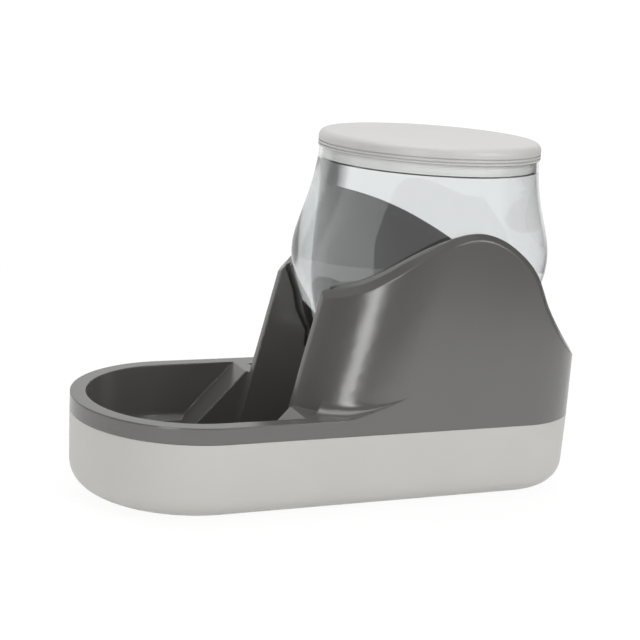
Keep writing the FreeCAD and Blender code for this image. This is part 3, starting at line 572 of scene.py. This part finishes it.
def make_housing():
    """Dark upper housing: the moulding, its cheeks brought down to the ramp, and the coves beside them."""
    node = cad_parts["upper_housing"]
    deselect_all()
    obj = node.copy()
    obj.data = node.data.copy()
    bpy.context.collection.objects.link(obj)
    settle(obj, "housing_moulding")
    edit(obj)
    pick_vertices(obj, lambda place: True)
    bpy.ops.mesh.remove_doubles(threshold=HOUSING_MERGE * MM)
    bpy.ops.mesh.select_all(action="SELECT")
    bpy.ops.mesh.normals_make_consistent(inside=False)
    close_edit()
    if obj.data.has_custom_normals:
        bpy.ops.mesh.customdata_custom_splitnormals_clear()
    for side in (-1, 1):
        for added in (cheek_foot(side), make_cove(side)):
            apply_modifier(obj, "BOOLEAN", operation="UNION", object=added, solver="EXACT")
            bpy.data.objects.remove(added)
    smooth(obj, HOUSING_SHARP_ANGLE)
    apply_modifier(obj, "WEIGHTED_NORMAL", keep_sharp=True, weight=80)
    return obj


housing = paint(make_housing(), housing_abs)
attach(housing, "base")
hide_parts("upper_housing")

# Carried-over pieces
# The lid's seal takes the silicone painted lighter, as painted light against the shade under the lid
FINISHES = {
    "lid_seal": seal_painted_light, "tank_cap": cap_pp, "cap_gasket": silicone,
    "spring_retainer": cap_pp, "valve_stem": cap_pp, "valve_seal": silicone, "valve_spring": steel,
    "housing_screws": steel, "foot_pad_1": rubber, "foot_pad_2": rubber, "foot_pad_3": rubber,
    "foot_pad_4": rubber}
for node_name, finish in FINISHES.items():
    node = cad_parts[node_name]
    for index in range(max(1, len(node.material_slots))):
        if node.material_slots:
            node.material_slots[index].link = "OBJECT"
            node.material_slots[index].material = finish


# Studio

# Strength of the white that the camera sees, size of the floor, and how much of it rays see as plain white
CAMERA_WHITE = 1.05
FLOOR_RADIUS = 0.8
FLOOR_SHARE = 0.88
# Brightness of the studio through the glass, by the angle about the part: 0 is behind it, 90 its rear end
FLAGS = ((-180, 1.0), (-72, 1.0), (-62, 0.28), (-38, 0.28), (-29, 1.0), (50, 1.0), (58, 0.06), (70, 0.06),
         (80, 0.2), (112, 0.2), (126, 1.0), (180, 1.0))


def add_flags(tree, direction):
    """Dark and grey flags that stand beside the part, by the angle of a direction about the upright axis."""
    parts = add_node(tree, "ShaderNodeSeparateXYZ", links={0: direction})
    turn = add_node(tree, "ShaderNodeMath", {"operation": "ARCTAN2"},
                    links={0: parts.outputs["X"], 1: parts.outputs["Y"]})
    around = add_node(tree, "ShaderNodeMapRange", inputs={"From Min": -math.pi, "From Max": math.pi},
                      links={"Value": turn.outputs[0]})
    flags = add_node(tree, "ShaderNodeValToRGB", links={"Fac": around.outputs["Result"]})
    ramp = flags.color_ramp
    for degrees, level in FLAGS[1:-1]:
        stop = ramp.elements.new((degrees + 180) / 360)
        stop.color = (level, level, level, 1.0)
    ramp.elements[0].color = (FLAGS[0][1], FLAGS[0][1], FLAGS[0][1], 1.0)
    ramp.elements[-1].color = (FLAGS[-1][1], FLAGS[-1][1], FLAGS[-1][1], 1.0)
    return parts, flags.outputs["Color"]


def make_floor():
    """A plain pale floor that stays white to the camera and keeps a faint shadow."""
    material, tree, output = new_material("white_studio_floor")
    place = add_node(tree, "ShaderNodeTexCoord")
    flags = add_flags(tree, place.outputs["Object"])[1]
    rays = add_node(tree, "ShaderNodeLightPath")
    matt = add_node(tree, "ShaderNodeBsdfPrincipled",
                    inputs={"Base Color": hex_colour("#F2F2F0"), "Roughness": 0.9, "Specular IOR Level": 0.1})
    open_white = add_node(tree, "ShaderNodeEmission",
                          inputs={"Color": (1, 1, 1, 1), "Strength": CAMERA_WHITE})
    flagged = add_node(tree, "ShaderNodeEmission", inputs={"Strength": 1.0}, links={"Color": flags})
    white = add_node(tree, "ShaderNodeMixShader",
                     links={"Fac": rays.outputs["Is Transmission Ray"], 1: open_white.outputs["Emission"],
                            2: flagged.outputs["Emission"]})
    seen = add_node(tree, "ShaderNodeMath", {"operation": "MAXIMUM"},
                    links={0: rays.outputs["Is Camera Ray"], 1: rays.outputs["Is Glossy Ray"]})
    through = add_node(tree, "ShaderNodeMath", {"operation": "MAXIMUM"},
                       links={0: seen.outputs[0], 1: rays.outputs["Is Transmission Ray"]})
    share = add_node(tree, "ShaderNodeMath", {"operation": "MULTIPLY"}, {1: FLOOR_SHARE},
                     {0: through.outputs[0]})
    mixed = add_node(tree, "ShaderNodeMixShader",
                     links={"Fac": share.outputs[0], 1: matt.outputs["BSDF"], 2: white.outputs["Shader"]})
    tree.links.new(mixed.outputs["Shader"], output.inputs["Surface"])
    deselect_all()
    bpy.ops.mesh.primitive_circle_add(vertices=96, radius=FLOOR_RADIUS, fill_type="NGON", location=(0, 0, 0))
    floor = settle(bpy.context.object, "studio_floor")
    paint(floor, material)


make_floor()


def make_world():
    """White to the camera; as light, a white backdrop behind and a dim room in front, with the flags."""
    world = bpy.data.worlds.new("studio_world")
    bpy.context.scene.world = world
    world.use_nodes = True
    tree = world.node_tree
    tree.nodes.clear()
    rays = add_node(tree, "ShaderNodeLightPath")
    place = add_node(tree, "ShaderNodeTexCoord")
    parts, flags = add_flags(tree, place.outputs["Generated"])
    glow = add_node(tree, "ShaderNodeMapRange", {"interpolation_type": "SMOOTHSTEP"},
                    {"From Min": -0.1, "From Max": 0.55, "To Min": 0.06, "To Max": 0.85},
                    {"Value": parts.outputs["Y"]})
    light = add_node(tree, "ShaderNodeBackground", inputs={"Color": (1, 1, 1, 1)},
                     links={"Strength": glow.outputs["Result"]})
    mirrored = add_node(tree, "ShaderNodeBackground",
                        links={"Color": flags, "Strength": glow.outputs["Result"]})
    past = add_node(tree, "ShaderNodeBackground", inputs={"Strength": 1.0}, links={"Color": flags})
    white = add_node(tree, "ShaderNodeBackground", inputs={"Color": (1, 1, 1, 1), "Strength": CAMERA_WHITE})
    shader = light
    for ray, part in (("Is Glossy Ray", mirrored), ("Is Transmission Ray", past), ("Is Camera Ray", white)):
        shader = add_node(tree, "ShaderNodeMixShader",
                          links={"Fac": rays.outputs[ray], 1: shader.outputs[0], 2: part.outputs[0]})
    add_node(tree, "ShaderNodeOutputWorld", links={"Surface": shader.outputs[0]})


make_world()


def softbox(name, place, target, width, height, power):
    """A rectangular area lamp that faces a point."""
    lamp = bpy.data.lights.new(name, "AREA")
    lamp.shape = "RECTANGLE"
    lamp.size = width
    lamp.size_y = height
    lamp.energy = power
    obj = bpy.data.objects.new(name, lamp)
    bpy.context.collection.objects.link(obj)
    obj.location = place
    direction = Vector(target) - Vector(place)
    obj.rotation_euler = direction.to_track_quat("-Z", "Y").to_euler()
    return obj


key = softbox("key_softbox", (0.95, -1.25, 0.9), (0.02, 0, 0.08), 0.9, 0.9, 12)
softbox("top_softbox", (0.0, 0.15, 1.6), (0, 0, 0.05), 1.4, 1.0, 9)
strip = softbox("left_strip", (-0.96, -1.16, 0.5), (0, -0.07, 0.11), 0.36, 1.2, 8)


def keep_off(lamp, pieces):
    """Keeps a lamp from shining on, and mirroring in, some pieces."""
    group = bpy.data.collections.new("kept_off_" + lamp.name)
    for piece in pieces:
        group.objects.link(piece)
    for member in group.collection_objects:
        member.light_linking.link_state = "EXCLUDE"
    lamp.light_linking.receiver_collection = group


# Both would stand as hard white shapes in the clear tank
keep_off(strip, [tank, water])
keep_off(key, [tank, water])
# A clear wall and water let the light on to the plug and seal inside
tank.visible_shadow = False
water.visible_shadow = False

# Camera, solved from the photograph
CAMERA_PLACE = Vector((-417.3, -950.8, 360.5)) * MM
CAMERA_TARGET = Vector((-4.26, 0.0, 117.93)) * MM
CAMERA_ROLL = math.radians(3.86)
CAMERA_LENS = 82.27


def make_camera():
    """The camera at the photograph's place, with its slight roll."""
    data = bpy.data.cameras.new("photo_camera")
    data.lens = CAMERA_LENS
    data.sensor_width = 36.0
    data.clip_start = 0.05
    obj = bpy.data.objects.new("photo_camera", data)
    bpy.context.collection.objects.link(obj)
    forward = (CAMERA_TARGET - CAMERA_PLACE).normalized()
    right = forward.cross(Vector((0, 0, 1))).normalized()
    up = right.cross(forward)
    turned_right = right * math.cos(CAMERA_ROLL) + up * math.sin(CAMERA_ROLL)
    turned_up = up * math.cos(CAMERA_ROLL) - right * math.sin(CAMERA_ROLL)
    matrix = Matrix((turned_right, turned_up, -forward)).transposed().to_4x4()
    matrix.translation = CAMERA_PLACE
    obj.matrix_world = matrix
    bpy.context.scene.camera = obj


make_camera()
bpy.context.scene.view_settings.view_transform = "Standard"
deselect_all()
